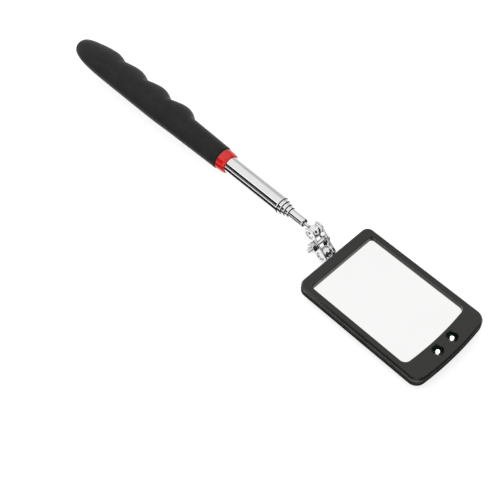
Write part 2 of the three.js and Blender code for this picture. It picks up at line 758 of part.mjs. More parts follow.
place(head, 'switch_slider', switchSlider(), darkPlastic);
CASE_SCREWS.forEach((spot, index) => {
  place(head, `case_screw_${index + 1}`, caseScrew(spot), steel);
});

export default group;
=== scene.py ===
"""Looks of the telescoping inspection mirror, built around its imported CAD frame.

Shapes are worked out in millimetres and stored in metres. The wand runs along +X, the mirror faces +Z and
the finger bumps of the grip point to +Y.
"""

import json
import math

import bmesh
import bpy
from mathutils import Matrix, Vector


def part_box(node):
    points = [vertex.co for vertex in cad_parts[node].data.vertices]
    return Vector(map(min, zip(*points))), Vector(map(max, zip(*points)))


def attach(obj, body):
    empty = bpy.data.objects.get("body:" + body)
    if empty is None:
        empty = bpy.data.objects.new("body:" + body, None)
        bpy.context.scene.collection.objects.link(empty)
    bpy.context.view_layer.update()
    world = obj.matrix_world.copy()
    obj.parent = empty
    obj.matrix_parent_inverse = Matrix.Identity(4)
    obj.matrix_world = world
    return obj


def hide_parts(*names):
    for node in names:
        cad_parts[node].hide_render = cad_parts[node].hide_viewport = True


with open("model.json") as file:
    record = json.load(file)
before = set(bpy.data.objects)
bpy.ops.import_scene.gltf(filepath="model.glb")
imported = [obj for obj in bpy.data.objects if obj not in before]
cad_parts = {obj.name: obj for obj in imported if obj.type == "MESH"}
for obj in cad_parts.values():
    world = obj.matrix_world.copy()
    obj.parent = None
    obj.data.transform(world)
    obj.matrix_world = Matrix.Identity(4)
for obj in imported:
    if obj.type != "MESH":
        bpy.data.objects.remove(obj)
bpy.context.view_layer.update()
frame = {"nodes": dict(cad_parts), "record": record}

MM = 0.001
ROUND = 96                      # sides of a tube or of the collar
FINE = 48                       # sides of a pin, a screw or a lamp

# ---------------------------------------------------------------- places taken from the frame


def box(node):
    low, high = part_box(node)
    return low / MM, high / MM


def middle(node):
    low, high = box(node)
    return (low + high) / 2


WAND_Y, WAND_Z = middle("tube_1").y, middle("tube_1").z
WAND_BALL = middle("wand_ball")
HEAD_BALL = middle("head_ball")
LINK_DROP = math.atan2(WAND_BALL.z - HEAD_BALL.z, HEAD_BALL.x - WAND_BALL.x)
HEAD_START = box("rear_shell")[0].x
HEAD_END = box("rear_shell")[1].x
NOSE_X, MOUTH_X = box("grip_sleeve")[0].x, box("grip_sleeve")[1].x

on_wand = Matrix.Translation((0, WAND_Y, WAND_Z))
at_wand_ball = Matrix.Translation(WAND_BALL)
at_head_ball = Matrix.Translation(HEAD_BALL)
on_link = Matrix.Translation((WAND_BALL + HEAD_BALL) / 2) @ Matrix.Rotation(LINK_DROP, 4, "Y")
on_head = Matrix.Translation((HEAD_START, 0, 0))
upright = Matrix.Rotation(math.radians(-90), 4, "Y")      # turns a piece made along +X to stand along +Z
across = Matrix.Rotation(math.radians(90), 4, "Z")        # turns a piece made along +X to lie along +Y

# ---------------------------------------------------------------- mesh helpers


def mix(a, b, share):
    return a + (b - a) * share


def smoothstep(value, low, high):
    share = min(max((value - low) / (high - low), 0), 1)
    return share * share * (3 - 2 * share)


def make(name, points, faces, place):
    """A mesh object from points in mm, with doubled points merged and its faces turned outward."""
    mesh = bpy.data.meshes.new(name)
    mesh.from_pydata([(place @ Vector(point)) * MM for point in points], [], faces)
    work = bmesh.new()
    work.from_mesh(mesh)
    bmesh.ops.remove_doubles(work, verts=work.verts, dist=1e-7)
    bmesh.ops.recalc_face_normals(work, faces=work.faces)
    work.to_mesh(mesh)
    work.free()
    piece = bpy.data.objects.new(name, mesh)
    bpy.context.scene.collection.objects.link(piece)
    return piece


def loft(name, rings, place, closed=False):
    """A solid through rings of points. Its ends are flat faces, unless it closes on itself."""
    count = len(rings[0])
    points = [point for ring in rings for point in ring]
    faces = []
    for level in range(len(rings) if closed else len(rings) - 1):
        low, high = level * count, (level + 1) % len(rings) * count
        for k in range(count):
            following = (k + 1) % count
            faces.append((low + k, low + following, high + following, high + k))
    if not closed:
        faces.append(tuple(range(count)))
        faces.append(tuple(range(len(points) - count, len(points))))
    return make(name, points, faces, place)


def turned(name, profile, place, sides=FINE, closed=False):
    """A turned solid about X, from (distance along, radius) points. It may start and end on the axis."""
    rings = []
    for along, radius in profile:
        turns = [2 * math.pi * k / sides for k in range(sides)]
        rings.append([(along, radius * math.cos(turn), radius * math.sin(turn)) for turn in turns])
    piece = loft(name, rings, place, closed)
    work = bmesh.new()
    work.from_mesh(piece.data)
    flat = [face for face in work.faces if face.calc_area() < 1e-14]
    bmesh.ops.delete(work, geom=flat, context="FACES_ONLY")
    work.to_mesh(piece.data)
    work.free()
    return piece


def rounded(corners, radius, closed=False, steps=4):
    """The corners of a profile, each replaced with a small arc."""
    path = []
    for index, corner in enumerate(corners):
        if not closed and index in (0, len(corners) - 1):
            path.append(tuple(corner))
            continue
        here = Vector(corner)
        back = Vector(corners[index - 1]) - here
        ahead = Vector(corners[(index + 1) % len(corners)]) - here
        angle = back.angle(ahead)
        if angle > math.radians(172):
            path.append(tuple(corner))
            continue
        reach = min(radius / math.tan(angle / 2), 0.45 * back.length, 0.45 * ahead.length)
        start = here + back.normalized() * reach
        end = here + ahead.normalized() * reach
        for step in range(steps + 1):
            share = step / steps
            path.append(tuple(mix(mix(start, here, share), mix(here, end, share), share)))
    return path


def combine(piece, operation, *tools):
    """Cuts the tools out of a piece, or joins them to it, and removes the tools."""
    for tool in tools:
        modifier = piece.modifiers.new("combine", "BOOLEAN")
        modifier.operation = operation
        modifier.solver = "EXACT"
        modifier.object = tool
        bpy.context.view_layer.update()
        result = bpy.data.meshes.new_from_object(piece.evaluated_get(bpy.context.evaluated_depsgraph_get()))
        piece.modifiers.clear()
        piece.data = result
        bpy.data.objects.remove(tool)
    return piece


def cut(piece, *tools):
    return combine(piece, "DIFFERENCE", *tools)


def join(piece, *tools):
    return combine(piece, "UNION", *tools)


def block(low, high, place, edge=0.0):
    """A tool with square corners, or with its rims chamfered by edge."""
    rings = []
    for height, inset in ((low[2], edge), (low[2] + edge, 0), (high[2] - edge, 0), (high[2], edge)):
        left, right = low[0] + inset, high[0] - inset
        near, far = low[1] + inset, high[1] - inset
        corners = ((left, near), (right, near), (right, far), (left, far))
        rings.append([(x, y, height) for x, y in corners])
    return loft("tool", rings if edge else [rings[0], rings[-1]], place)


def post(x, y, bottom, top, radius, place, sides=FINE):
    profile = [(bottom, 0), (bottom, radius), (top, radius), (top, 0)]
    return turned("tool", profile, place @ Matrix.Translation((x, y, 0)) @ upright, sides)


def dress(piece, material, body, slot, *nodes, sharp=32):
    """Shades a piece, gives it its material, hangs it on its body and hides the CAD nodes it stands for."""
    piece.data.materials.clear()
    piece.data.materials.append(material)
    for polygon in piece.data.polygons:
        polygon.use_smooth = True
    piece.data.set_sharp_from_angle(angle=math.radians(sharp))
    modifier = piece.modifiers.new("flat faces stay flat", "WEIGHTED_NORMAL")
    modifier.keep_sharp = True
    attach(piece, body)
    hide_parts(*nodes)
    return piece


# ---------------------------------------------------------------- materials


class Finish:
    """A procedural material: a principled shader, and the nodes that vary it over the surface."""

    def __init__(self, name, **uniform):
        self.material = bpy.data.materials.new(name)
        self.material.use_nodes = True
        self.tree = self.material.node_tree
        self.shader = self.tree.nodes["Principled BSDF"]
        self.place = self.tree.nodes.new("ShaderNodeTexCoord").outputs["Object"]
        for socket, value in uniform.items():
            self.shader.inputs[socket.replace("_", " ")].default_value = value

    def node(self, kind, **settings):
        node = self.tree.nodes.new("ShaderNode" + kind)
        for key, value in settings.items():
            setattr(node, key, value)
        return node

    def link(self, source, target):
        self.tree.links.new(source, target)

    def noise(self, scale, detail=3.0, roughness=0.55, stretch=(1, 1, 1)):
        mapping = self.node("Mapping")
        mapping.inputs["Scale"].default_value = stretch
        self.link(self.place, mapping.inputs["Vector"])
        noise = self.node("TexNoise")
        noise.inputs["Scale"].default_value = scale
        noise.inputs["Detail"].default_value = detail
        noise.inputs["Roughness"].default_value = roughness
        self.link(mapping.outputs["Vector"], noise.inputs["Vector"])
        return noise.outputs["Fac"]

    def ramp(self, source, stops):
        ramp = self.node("ValToRGB")
        elements = ramp.color_ramp.elements
        while len(elements) < len(stops):
            elements.new(0.5)
        for element, (position, colour) in zip(elements, stops):
            element.position = position
            element.color = (*colour, 1)
        self.link(source, ramp.inputs["Fac"])
        return ramp.outputs["Color"]

    def spread(self, source, low, high):
        """Maps the middle of a noise to the range from low to high."""
        spread = self.node("MapRange")
        spread.inputs["From Min"].default_value = 0.3
        spread.inputs["From Max"].default_value = 0.7
        spread.inputs["To Min"].default_value = low
        spread.inputs["To Max"].default_value = high
        self.link(source, spread.inputs["Value"])
        return spread.outputs["Result"]

    def colour(self, source, stops):
        self.link(self.ramp(source, stops), self.shader.inputs["Base Color"])

    def roughness(self, source, low, high):
        self.link(self.spread(source, low, high), self.shader.inputs["Roughness"])

    def bump(self, height, strength, distance):
        bump = self.node("Bump")
        bump.inputs["Strength"].default_value = strength
        bump.inputs["Distance"].default_value = distance * MM
        self.link(height, bump.inputs["Height"])
        previous = self.shader.inputs["Normal"].links
        if previous:
            self.link(previous[0].from_socket, bump.inputs["Normal"])
        self.link(bump.outputs["Normal"], self.shader.inputs["Normal"])


def shades(colour, amount):
    """A darker and a lighter neighbour of a colour, for a ramp."""
    darker = tuple(channel * (1 - amount) for channel in colour)
    lighter = tuple(min(channel * (1 + amount), 1) for channel in colour)
    return [(0.3, darker), (0.7, lighter)]


def rubber():
    finish = Finish("black_rubber_grip", Specular_IOR_Level=0.16, Sheen_Weight=0.04, Sheen_Roughness=0.5)
    finish.colour(finish.noise(160, 4), shades((0.0095, 0.0092, 0.009), 0.22))
    finish.roughness(finish.noise(300, 4), 0.44, 0.6)
    finish.bump(finish.noise(2600, 5, 0.7), 0.25, 0.1)
    finish.bump(finish.noise(500, 2), 0.1, 0.15)
    return finish.material


def moulded(name, colour, grain=1500, rough=(0.38, 0.52), level=0.4):
    finish = Finish(name, Specular_IOR_Level=level)
    finish.colour(finish.noise(220, 3), shades(colour, 0.1))
    finish.roughness(finish.noise(180, 4), *rough)
    finish.bump(finish.noise(grain, 3, 0.6), 0.22, 0.06)
    return finish.material


def glossy_red():
    finish = Finish("red_collar_plastic", Specular_IOR_Level=0.5, Coat_Weight=0.15, Coat_Roughness=0.06)
    finish.colour(finish.noise(200, 3), shades((0.5, 0.004, 0.003), 0.06))
    finish.roughness(finish.noise(500, 3), 0.06, 0.1)
    finish.bump(finish.noise(1200, 2), 0.05, 0.05)
    return finish.material


def metal(name, colour, rough, scale=400, stretch=(1, 1, 1), scratches=0.03, varied=0.04, glow=0):
    finish = Finish(name, Metallic=1.0, Emission_Color=(1, 1, 1, 1), Emission_Strength=glow)
    finish.colour(finish.noise(90, 3), shades(colour, varied))
    finish.roughness(finish.noise(scale, 4, 0.6, stretch), *rough)
    finish.bump(finish.noise(scale * 6, 2, 0.5, stretch), scratches, 0.02)
    return finish.material


def silvered_glass():
    finish = Finish("silvered_mirror", Metallic=1.0)
    finish.colour(finish.noise(30, 2), shades((0.955, 0.955, 0.95), 0.006))
    finish.roughness(finish.noise(60, 3), 0.012, 0.03)
    return finish.material


def ground_edge():
    finish = Finish("ground_glass_edge", Specular_IOR_Level=0.6)
    finish.colour(finish.noise(600, 3), shades((0.16, 0.24, 0.21), 0.2))
    finish.roughness(finish.noise(900, 3), 0.25, 0.45)
    finish.bump(finish.noise(3000, 2), 0.15, 0.05)
    return finish.material


def clear_plastic():
    finish = Finish("clear_lamp_lens", Transmission_Weight=1.0, IOR=1.5)
    finish.colour(finish.noise(200, 2), shades((0.96, 0.97, 0.985), 0.012))
    finish.roughness(finish.noise(400, 2), 0.01, 0.04)
    return finish.material


def solder_mask():
    finish = Finish("green_board", Specular_IOR_Level=0.5)
    finish.colour(finish.noise(900, 2, 0.5, (1, 0.1, 1)), shades((0.014, 0.1, 0.035), 0.35))
    finish.roughness(finish.noise(500, 3), 0.25, 0.4)
    finish.bump(finish.noise(900, 2, 0.5, (1, 0.1, 1)), 0.2, 0.05)
    return finish.material


def open_foam():
    finish = Finish("grey_foam", Specular_IOR_Level=0.2)
    finish.colour(finish.noise(1800, 4), shades((0.62, 0.62, 0.58), 0.25))
    finish.roughness(finish.noise(900, 3), 0.8, 0.95)
    finish.bump(finish.noise(2400, 4), 0.8, 0.15)
    return finish.material


CHROME = metal("polished_chrome", (0.8, 0.803, 0.806), (0.035, 0.075), 300, (0.15, 1, 1))
TUBE_CHROME = metal("drawn_chrome_tube", (0.8, 0.803, 0.806), (0.03, 0.07), 260, (0.04, 1, 1))
# near-black metal for the front of each tube's cone: painted shade in the step between tubes, where the
# tube itself is chrome
PAINTED_LIP_SHADE = metal("painted_shade_tube_lip", (0.05, 0.05, 0.052), (0.25, 0.4), 600)
STEEL = metal("nickel_steel", (0.62, 0.62, 0.61), (0.2, 0.34), 700, (1, 0.3, 1), 0.06)
BRONZE = metal("spring_bronze", (0.52, 0.33, 0.15), (0.26, 0.4), 500, (0.2, 1, 1), 0.08, 0.12)
# the reflector cup glows: a painted highlight seen through the lamp lens
PAINTED_HIGHLIGHT_CUP = metal("reflector_painted_highlight_glow", (0.92, 0.92, 0.9), (0.08, 0.16), 900, glow=1.4)
CASE = moulded("black_case_plastic", (0.009, 0.0083, 0.0075), rough=(0.19, 0.27), level=0.45)
INNER = moulded("black_inner_plastic", (0.008, 0.008, 0.008), 900, (0.35, 0.5))
CERAMIC = moulded("moulded_resistor", (0.022, 0.022, 0.026), 1500, (0.3, 0.45))
RUBBER, RED, MIRROR, EDGE = rubber(), glossy_red(), silvered_glass(), ground_edge()
LENS, BOARD, FOAM = clear_plastic(), solder_mask(), open_foam()

SLOT_FINISH = {
    "bronze": BRONZE,
    "steel": STEEL,
    "inner_plastic": INNER,
    "foam": FOAM,
    "board": BOARD,
    "ceramic": CERAMIC,
}

# ---------------------------------------------------------------- grip and collar

GRIP = {
    "length": MOUTH_X - NOSE_X,
    "radius": 8.15,
    "neck": 7.5,
    "mouth": 6.85,
    "bump": 11.4,
    "valley": 9.15,
    "valley_drop": 0.64,
    "first_peak": 26.5,
    "first_valley": 34.1,
    "pitch": 21.22,
    "bumps": 4,
    "bump_lean": 1.1,           # above 1 the top of a bump leans towards the mouth
    "nose_dome": 3.4,
    "nose_drop": 4.9,
    "nose_fade": 6.8,
    "nose_swell": 1.2,
    "swell_start": 9,
    "slim_start": 70.8,
    "bore": 5.25,
    "bore_end": 5.7,            # from the nose
    "lip": 0.7,                 # radius of the rounded rim at the mouth
}


def grip_reach(distance):
    """How far the plain side and the bumped side stand out from the axis, at a distance from the nose."""
    last_valley = GRIP["first_valley"] + (GRIP["bumps"] - 1) * GRIP["pitch"]
    dome = math.sqrt(max(1 - (1 - min(distance / GRIP["nose_dome"], 1)) ** 2, 0))
    start = GRIP["radius"] - GRIP["nose_drop"] * math.exp(-distance / GRIP["nose_fade"])
    slim = smoothstep(distance, GRIP["slim_start"], last_valley) * (GRIP["radius"] - GRIP["neck"])
    mouth = min(max((distance - last_valley) / (GRIP["length"] - last_valley), 0), 1)
    plain = dome * mix(start - slim, GRIP["mouth"], mouth)
    if distance <= GRIP["first_peak"]:
        swell = smoothstep(distance, GRIP["swell_start"], GRIP["first_peak"])
        return plain, plain * mix(GRIP["nose_swell"], GRIP["bump"] / max(plain, 1), swell)
    if distance >= last_valley:
        return plain, plain
    valleys = (distance - GRIP["first_valley"]) / GRIP["pitch"]
    crest = math.sin(math.pi * (valleys - math.floor(valleys)) ** GRIP["bump_lean"])
    return plain, mix(GRIP["valley"] - GRIP["valley_drop"] * valleys, GRIP["bump"], crest)


def eased_reach(distance):
    """The same with the sharp valleys a little rounded."""
    plain, bumped = grip_reach(distance)
    if distance > GRIP["nose_dome"] + 2:
        around = [grip_reach(distance + step * 0.3)[1] for step in (-2, -1, 0, 1, 2)]
        bumped = sum(around) / len(around)
    return plain, bumped


def grip_ring(distance, reach, sides=ROUND):
    plain, bumped = reach
    ring = []
    for k in range(sides):
        turn = 2 * math.pi * k / sides
        side = bumped if math.cos(turn) > 0 else plain
        ring.append((distance, side * math.cos(turn), plain * math.sin(turn)))
    return ring


def grip():
    length, lip, dome, bore = GRIP["length"], GRIP["lip"], GRIP["nose_dome"], GRIP["bore"]
    tip = 0.02
    nose_steps = [dome * (1 - math.cos(math.pi / 2 * k / 16)) for k in range(1, 16)]
    body_steps = [dome + (length - lip - dome) * k / 240 for k in range(241)]
    rings = [grip_ring(distance, eased_reach(distance)) for distance in [tip, *nose_steps, *body_steps]]
    for k in range(1, 7):
        turn = math.pi / 2 * k / 6
        radius = GRIP["mouth"] - lip * (1 - math.cos(turn))
        rings.append(grip_ring(length - lip + lip * math.sin(turn), (radius, radius)))
    bevel = 0.2
    for along, radius in ((length, bore + bevel), (length - bevel, bore), (GRIP["bore_end"], bore)):
        rings.append(grip_ring(along, (radius, radius)))
    return loft("grip_rubber", rings, on_wand @ Matrix.Translation((NOSE_X, 0, 0)))


dress(grip(), RUBBER, "grip", "black_rubber", "grip_sleeve", sharp=50)


def collar():
    """A ring that narrows towards its front, where a small step goes round it."""
    low, high = box("red_collar")
    rear, front, bore = high.z - WAND_Z, 6.05, 5.2
    step_start, step_end, step = high.x - 1.1, high.x - 0.9, 0.12
    corners = [
        (low.x, bore),
        (low.x, rear),
        (step_start, front + step),
        (step_end, front - step),
        (high.x, front - 0.25),
        (high.x, bore),
    ]
    return turned("collar_ring", rounded(corners, 0.22, closed=True), on_wand, ROUND, closed=True)


dress(collar(), RED, "grip", "red_plastic", "red_collar")

# ---------------------------------------------------------------- telescoping tubes

TUBE_COUNT = 5
TUBE_WALL = 0.25
FLARE = 0.18                    # how far the rear of a sliding tube stands out
LIP = 1.2                       # length over which a tube's mouth fits the next tube
CONE = 0.95                     # length over which the front of a tube narrows
CONE_DROP = 0.4
LIP_SHADE = 0.5                 # front part of that length, painted near-black as shade in the step between tubes
STEM_MOUTH = 1.6                # radius of the last tube's mouth, where the stem comes out
LAST_LIP = 1.95


def tube_radius(number):
    """The outer radius of a tube's plain length. Every tube but the first is flared at its rear."""
    flare = 0 if number == 1 else FLARE
    return box(f"tube_{number}")[1].z - WAND_Z - flare


def tube(number):
    low, high = box(f"tube_{number}")
    rear, front = low.x, high.x
    outer = tube_radius(number)
    inner = outer - TUBE_WALL
    last = number == TUBE_COUNT
    mouth = STEM_MOUTH if last else tube_radius(number + 1) + 0.08
    lip_outer = LAST_LIP if last else outer - CONE_DROP
    flare = outer if number == 1 else outer + FLARE
    corners = [
        (rear, inner),
        (rear, flare),
        (rear + 0.8, flare),
        (rear + 1.0, outer),
    ]
    roll = rounded(corners, 0.12)
    halfway = front - LIP_SHADE
    roll += [(front - CONE, outer), (front - CONE + 0.1, outer - 0.02)]
    roll += [(halfway, mix(outer, lip_outer, 1 - LIP_SHADE / CONE)), (front - 0.12, lip_outer + 0.04)]
    roll += [(front - 0.03, lip_outer - 0.03), (front, lip_outer - 0.1)]
    roll += [(front, mouth + 0.03), (front - 0.12, mouth), (front - LIP, mouth), (front - LIP - 0.6, inner)]
    piece = turned(f"tube_{number}_chrome", roll, on_wand, ROUND, closed=True)
    dress(piece, TUBE_CHROME, "grip" if number == 1 else f"tube_{number}", "chrome", f"tube_{number}")
    # the front half of the cone gets the near-black metal: painted shade in the step between tubes
    piece.data.materials.append(PAINTED_LIP_SHADE)
    for polygon in piece.data.polygons:
        polygon.material_index = int(polygon.center.x > halfway * MM and polygon.normal.x > 0.2)
    return piece


for tube_number in range(1, TUBE_COUNT + 1):
    tube(tube_number)

# ---------------------------------------------------------------- ball studs

BALL_RADIUS = box("wand_ball")[1].z - WAND_BALL.z
NECK = 1.0                      # radius of a stem next to its ball
NECK_END = 4.7                  # distance from the ball's centre where the neck starts to spread


def ball(name, place):
    steps = 32
    profile = []
    for k in range(steps + 1):
        turn = math.pi * k / steps
        profile.append((-BALL_RADIUS * math.cos(turn), BALL_RADIUS * math.sin(turn)))
    return turned(name, profile, place, 64)


def stem(name, corners, place):
    """A stem whose neck spreads a little where it meets its ball, which is at the origin."""
    inward = -1 if corners[-1][0] < 0 else 1
    neck_root = [(1.15, NECK), (0.55, 1.12), (0.15, 1.5)]
    profile = rounded(corners, 0.2) + [(inward * (3.45 + out), radius) for out, radius in neck_root]
    profile += [(inward * 3.3, 1.5), (inward * 3.3, 0)]
    return turned(name, profile, place)


wand_mouth = box("tube_5")[1].x - WAND_BALL.x
WAND_STEM = {"head_end": wand_mouth - 7.4, "head_start": wand_mouth - 6, "head": 2.1, "shank": 1.35}
wand_stem = stem("wand_stud_stem", [
    (WAND_STEM["head_end"], 0),
    (WAND_STEM["head_end"], WAND_STEM["head"]),
    (WAND_STEM["head_start"], WAND_STEM["head"]),
    (WAND_STEM["head_start"], WAND_STEM["shank"]),
    (wand_mouth - 0.3, WAND_STEM["shank"]),
    (wand_mouth + 0.1, NECK),
    (-NECK_END, NECK),
], at_wand_ball)
dress(wand_stem, CHROME, "wand_stem", "chrome", "wand_stem")
dress(ball("wand_stud_ball", at_wand_ball), CHROME, "wand_ball", "chrome", "wand_ball", sharp=60)

head_edge = HEAD_START - HEAD_BALL.x
HEAD_STEM = {"head_end": head_edge + 4.2, "head_start": head_edge + 3.3, "head": 1.8, "shank": 1.15,
             "collar_end": head_edge - 0.4, "collar_start": head_edge - 0.7, "collar": 1.5}
head_stem = stem("head_stud_stem", [
    (HEAD_STEM["head_end"], 0),
    (HEAD_STEM["head_end"], HEAD_STEM["head"]),
    (HEAD_STEM["head_start"], HEAD_STEM["head"]),
    (HEAD_STEM["head_start"], HEAD_STEM["shank"]),
    (HEAD_STEM["collar_end"], HEAD_STEM["shank"]),
    (HEAD_STEM["collar_end"], HEAD_STEM["collar"]),
    (HEAD_STEM["collar_start"], HEAD_STEM["collar"]),
    (HEAD_STEM["collar_start"], NECK),
    (NECK_END, NECK),
], at_head_ball)
dress(head_stem, CHROME, "head_stem", "chrome", "head_stem")
dress(ball("head_stud_ball", at_head_ball), CHROME, "head_ball", "chrome", "head_ball", sharp=60)

# ---------------------------------------------------------------- clamp of two plates

PLATE = {
    "spacing": (HEAD_BALL - WAND_BALL).length,
    "inner": 3.0,
    "outer": 4.0,
    "end_radius": 4.1,
    "waist": 3.1,
    "seat": 2.55,
    "seat_flare": 0.3,
    "screw_hole": 1.6,
    "lean": math.radians(77),   # how far round its end each straight side leaves a plate
}


def plate_outline(inset):
    """A dumbbell in X and Z: two round ends with a slimmer waist between them."""
    half, radius, waist = PLATE["spacing"] / 2, PLATE["end_radius"] - inset, PLATE["waist"] - inset
    turns = [PLATE["lean"] * (k / 14 - 1) for k in range(29)]
    arc = [(half + radius * math.cos(turn), radius * math.sin(turn)) for turn in turns]
    join_x, join_z = arc[-1]
    bend = (half / 3, waist)
    side = []
    for k in range(1, 13):
        share = k / 12
        x = mix(mix(join_x, bend[0], share), mix(bend[0], 0, share), share)
        z = mix(mix(join_z, bend[1], share), mix(bend[1], waist, share), share)
        side.append((x, z))
    top = arc[14:] + side
    upper = top + [(-x, z) for x, z in reversed(top[:-1])]
    return upper + [(x, -z) for x, z in reversed(upper[1:-1])]


def clamp_plate(name, side):
    rings = []
    steps = [(0, 0.3), (0.09, 0.09), (0.3, 0), (0.7, 0), (0.91, 0.09), (1, 0.3)]
    for share, inset in steps:
        y = side * mix(PLATE["inner"], PLATE["outer"], share)
        rings.append([(x, y, z) for x, z in plate_outline(inset)])
    plate = loft(name, rings, on_link)
    half, seat, flare = PLATE["spacing"] / 2, PLATE["seat"], PLATE["seat_flare"]
    inner, outer = PLATE["inner"], PLATE["outer"]
    for x, radius in ((-half, seat), (0, PLATE["screw_hole"]), (half, seat)):
        profile = [
            (inner - 1, 0),
            (inner - 1, radius + flare),
            (inner, radius + flare * 0.5),
            (inner + 0.2, radius),
            (outer - 0.3, radius),
            (outer - 0.08, radius + 0.09),
            (outer, radius + flare),
            (outer + 1, radius + flare + 0.4),
            (outer + 1, 0),
        ]
        turn = across if side > 0 else Matrix.Rotation(math.radians(-90), 4, "Z")
        cut(plate, turned("tool", profile, on_link @ Matrix.Translation((x, 0, 0)) @ turn))
    return plate


SCREW = {"shank": 1.35, "pitch": 0.45, "turns": 12, "thread_depth": 0.2, "tail": 5.8, "head": 2.9}


def clamp_screw():
    """A pan head screw across the plates, with a cross slot. Rings stand in for its thread."""
    seat, end = PLATE["outer"] + 0.1, -PLATE["outer"] - SCREW["tail"]
    shank, pitch, head = SCREW["shank"], SCREW["pitch"], SCREW["head"]
    threads = []
    for k in range(SCREW["turns"]):
        start = end + 0.35 + k * pitch
        threads += [(start, shank - SCREW["thread_depth"]), (start + pitch / 2, shank)]
    corners = [(end, 0), (end, 1.0)] + threads + [(seat, shank)]
    dome = [
        (seat, head),
        (seat + 0.75, head),
        (seat + 1.3, 2.45),
        (seat + 1.7, 1.6),
        (seat + 1.9, 0.7),
        (seat + 1.9, 0),
    ]
    pan = rounded([corners[-1]] + dome, 0.2)[1:]
    screw = turned("clamp_screw_pan_head", corners + pan, on_link @ across)
    slot_floor, slot_top = (seat + 0.95, 0.7), (seat + 3, 1.15)
    for wide, narrow in ((1.6, 0.35), (0.35, 1.6)):
        rings = []
        for along, grow in (slot_floor, slot_top):
            x, z = wide * grow, narrow * grow
            rings.append([(along, -x, -z), (along, x, -z), (along, x, z), (along, -x, z)])
        cut(screw, loft("tool", rings, on_link @ across))
    return screw


NUT = {"top": -PLATE["outer"] - 0.85, "height": 2.3, "corner_radius": 3.15, "crown": 0.86, "bevel": 0.42,
       "bore": 1.5}


def clamp_nut():
    """A hexagon with its corners turned away at both ends."""
    top, bottom, radius = NUT["top"], NUT["top"] - NUT["height"], NUT["corner_radius"]
    hexagon = [(radius * math.cos(math.pi / 3 * k), radius * math.sin(math.pi / 3 * k)) for k in range(6)]
    nut = loft("clamp_hex_nut", [[(x, y, z) for y, z in hexagon] for x in (bottom, top)], on_link @ across)
    crown, bevel, bore = radius * NUT["crown"], NUT["bevel"], NUT["bore"]
    barrel = [
        (bottom, 0),
        (bottom, crown),
        (bottom + bevel, radius + 0.05),
        (top - bevel, radius + 0.05),
        (top, crown),
        (top, 0),
    ]
    combine(nut, "INTERSECT", turned("tool", barrel, on_link @ across, ROUND))
    hole = [
        (bottom - 1, 0),
        (bottom - 1, bore + 0.6),
        (bottom + 0.3, bore),
        (top - 0.3, bore),
        (top + 1, bore + 0.6),
        (top + 1, 0),
    ]
    return cut(nut, turned("tool", hole, on_link @ across))


def lock_washer():
    """A flat ring with a slanted split."""
    top, thick, bore, rim = -PLATE["outer"] - 0.15, 0.6, 1.55, 2.75
    corners = [(top - thick, bore), (top - thick, rim), (top, rim), (top, bore)]
    washer = turned("split_lock_washer", rounded(corners, 0.12, closed=True), on_link @ across, closed=True)
    rings = []
    for z in (0.5, 4):
        rings.append([(top - 2, -0.6, z), (top - 2, 0.1, z), (top + 1, 0.9, z), (top + 1, 0.2, z)])
    return cut(washer, loft("tool", rings, on_link @ across))


dress(clamp_plate("clamp_plate_left_chrome", 1), CHROME, "link", "chrome", "clamp_plate_left")
dress(clamp_plate("clamp_plate_right_chrome", -1), CHROME, "link", "chrome", "clamp_plate_right")
dress(clamp_screw(), CHROME, "link", "chrome", "clamp_screw")
dress(clamp_nut(), CHROME, "link", "chrome", "clamp_nut")
dress(lock_washer(), STEEL, "link", "steel", "lock_washer")

# ---------------------------------------------------------------- case of the head

HEAD = {
    "length": box("rear_shell")[1].x - HEAD_START,
    "half_width": box("rear_shell")[1].y,
    "end_radius": 200,
    "near_corner": 4.5,
    "far_corner": 6,
    "wall": 1.6,
}
BEZEL = {
    "groove": 0.35,             # depth of the groove where the two halves of the case meet
    "chamfer_drop": 1.7,        # from the face down to where the chamfer starts
    "chamfer_rise": 0.22,       # from the face down to where it ends
    "chamfer_width": 0.72,
    "face_inset": 1.6,          # from the side to where the flat face starts
    "face_thickness": 2,
    "lamp_hole": 3.0,
}
TOP = box("front_bezel")[1].z
PARTING = box("front_bezel")[0].z
RIM = box("rear_shell")[1].z


def outline(shape, height, corner_steps=14, arc_steps=48):
    """Straight near end and sides, and a shallow arc at the far end, at one height.

    A shape is (start, end, half width, near corner radius, far corner radius).
    """
    start, end, half, near, far = shape
    end_radius = HEAD["end_radius"] + end - HEAD["length"]
    arc_centre = end - end_radius
    fillet_y = half - far
    fillet_x = arc_centre + math.sqrt((end_radius - far) ** 2 - fillet_y**2)
    spread = math.atan2(fillet_y, fillet_x - arc_centre)
    quarter = math.pi / 2
    near_y = half - near
    points = []
    for x, y, radius, first, last, steps, whole in (
        (start + near, -near_y, near, 2 * quarter, 3 * quarter, corner_steps, True),
        (fillet_x, -fillet_y, far, -quarter, -spread, corner_steps, False),
        (arc_centre, 0, end_radius, -spread, spread, arc_steps, False),
        (fillet_x, fillet_y, far, spread, quarter, corner_steps, True),
        (start + near, near_y, near, quarter, 2 * quarter, corner_steps, True),
    ):
        for k in range(steps + (1 if whole else 0)):
            turn = mix(first, last, k / steps)
            points.append((x + radius * math.cos(turn), y + radius * math.sin(turn), height))
    return points


def grown(shape, amount):
    """The shape with its sides moved outward."""
    start, end, half, near, far = shape
    return start - amount, end + amount, half + amount, max(near + amount, 0.5), max(far + amount, 0.5)


CASE_SHAPE = (0, HEAD["length"], HEAD["half_width"], HEAD["near_corner"], HEAD["far_corner"])
WINDOW_SHAPE = (6.7, 71.3, 23.4, 2, 3.6)


def stacked(name, shape, steps):
    """A solid from (height, growth) steps of one outline."""
    return loft(name, [outline(grown(shape, growth), height) for height, growth in steps], on_head)


